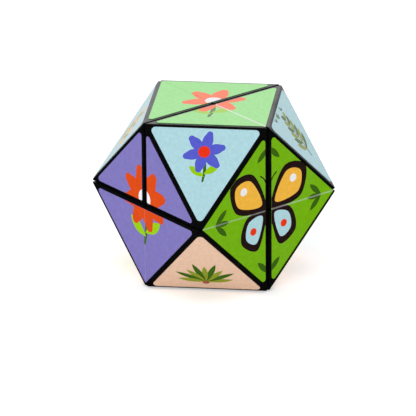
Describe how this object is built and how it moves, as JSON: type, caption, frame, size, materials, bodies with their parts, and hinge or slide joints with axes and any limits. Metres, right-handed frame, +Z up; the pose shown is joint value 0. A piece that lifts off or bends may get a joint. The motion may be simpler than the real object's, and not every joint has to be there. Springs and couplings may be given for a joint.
{
  "type": "folding picture puzzle",
  "caption": "Hollow plastic blocks joined in a ring by printed film hinges, closed into a cuboctahedron that folds open and turns inside out.",
  "frame": {"origin": "middle of the square face the closed puzzle stands on", "axes": "+Z up; +X out of the middle of the right square face; -Y out of the middle of the front square face"},
  "size_m": [0.0704, 0.0704, 0.0704],
  "materials": {
    "black_shell": "glossy moulded black ABS with light handling marks",
    "black_lid": "satin moulded black ABS",
    "inner_film": "glossy printed film, pictures inside black borders",
    "top_film": "glossy printed film, light green ground",
    "right_film": "glossy printed film, leaf green ground",
    "front_film": "glossy printed film, violet ground",
    "left_film": "glossy printed film, amber ground",
    "back_film": "glossy printed film, teal ground",
    "bottom_film": "glossy printed film, coral ground",
    "sky_film": "glossy printed film, pale blue ground",
    "sand_film": "glossy printed film, sand ground"
  },
  "bodies": {
    "upper_front_left": {"shell_upper_front_left": "black_shell", "lid_upper_front_left": "black_lid", "inner_film_upper_front_left": "inner_film", "triangle_film_upper_front_left": "sky_film", "left_hinge_film_upper_front_left": "left_film", "front_film_upper_front_left": "front_film", "top_hinge_film_upper_front_left": "top_film"},
    "upper_front_right": {"shell_upper_front_right": "black_shell", "lid_upper_front_right": "black_lid", "inner_film_upper_front_right": "inner_film", "triangle_film_upper_front_right": "sky_film", "right_hinge_film_upper_front_right": "right_film", "front_film_upper_front_right": "front_film", "top_hinge_film_upper_front_right": "top_film"},
    "upper_back_left": {"shell_upper_back_left": "black_shell", "lid_upper_back_left": "black_lid", "inner_film_upper_back_left": "inner_film", "triangle_film_upper_back_left": "sand_film", "left_hinge_film_upper_back_left": "left_film", "back_film_upper_back_left": "back_film", "top_hinge_film_upper_back_left": "top_film"},
    "upper_back_right": {"shell_upper_back_right": "black_shell", "lid_upper_back_right": "black_lid", "inner_film_upper_back_right": "inner_film", "triangle_film_upper_back_right": "sky_film", "right_hinge_film_upper_back_right": "right_film", "back_film_upper_back_right": "back_film", "top_hinge_film_upper_back_right": "top_film"},
    "lower_front_left": {"shell_lower_front_left": "black_shell", "lid_lower_front_left": "black_lid", "inner_film_lower_front_left": "inner_film", "triangle_film_lower_front_left": "sand_film", "left_hinge_film_lower_front_left": "left_film", "front_hinge_film_lower_front_left": "front_film", "bottom_film_lower_front_left": "bottom_film"},
    "lower_front_right": {"shell_lower_front_right": "black_shell", "lid_lower_front_right": "black_lid", "inner_film_lower_front_right": "inner_film", "triangle_film_lower_front_right": "sand_film", "right_hinge_film_lower_front_right": "right_film", "front_hinge_film_lower_front_right": "front_film", "bottom_film_lower_front_right": "bottom_film"},
    "lower_back_left": {"shell_lower_back_left": "black_shell", "lid_lower_back_left": "black_lid", "inner_film_lower_back_left": "inner_film", "triangle_film_lower_back_left": "sky_film", "left_hinge_film_lower_back_left": "left_film", "back_hinge_film_lower_back_left": "back_film", "bottom_film_lower_back_left": "bottom_film"},
    "lower_back_right": {"shell_lower_back_right": "black_shell", "lid_lower_back_right": "black_lid", "inner_film_lower_back_right": "inner_film", "triangle_film_lower_back_right": "sand_film", "right_hinge_film_lower_back_right": "right_film", "back_hinge_film_lower_back_right": "back_film", "bottom_film_lower_back_right": "bottom_film"}
  },
  "joints": [
    {"name": "right_front_fold", "type": "hinge", "parent": "lower_front_right", "child": "upper_front_right", "pos_m": [0.03535, -0.0175, 0.0352], "axis": [0, 1, 0], "range_deg": [0, 179.5]},
    {"name": "top_right_fold", "type": "hinge", "parent": "upper_front_right", "child": "upper_back_right", "pos_m": [0.0175, 0, 0.07055], "axis": [1, 0, 0], "range_deg": [0, 179.5]},
    {"name": "right_back_fold", "type": "hinge", "parent": "upper_back_right", "child": "lower_back_right", "pos_m": [0.03535, 0.0175, 0.0352], "axis": [0, 1, 0], "range_deg": [-179.5, 0]},
    {"name": "front_fold", "type": "hinge", "parent": "lower_front_right", "child": "lower_front_left", "pos_m": [0, -0.03535, 0.0177], "axis": [0, 0, 1], "range_deg": [0, 179.5]},
    {"name": "left_front_fold", "type": "hinge", "parent": "lower_front_left", "child": "upper_front_left", "pos_m": [-0.03535, -0.0175, 0.0352], "axis": [0, -1, 0], "range_deg": [0, 179.5]},
    {"name": "top_left_fold", "type": "hinge", "parent": "upper_front_left", "child": "upper_back_left", "pos_m": [-0.0175, 0, 0.07055], "axis": [1, 0, 0], "range_deg": [0, 179.5]},
    {"name": "left_back_fold", "type": "hinge", "parent": "upper_back_left", "child": "lower_back_left", "pos_m": [-0.03535, 0.0175, 0.0352], "axis": [0, -1, 0], "range_deg": [-179.5, 0]}
  ],
  "couplings": [
    {"joint": "right_back_fold", "follows": "right_front_fold", "ratio": -1},
    {"joint": "top_left_fold", "follows": "top_right_fold", "ratio": 1},
    {"joint": "left_back_fold", "follows": "left_front_fold", "ratio": -1}
  ]
}
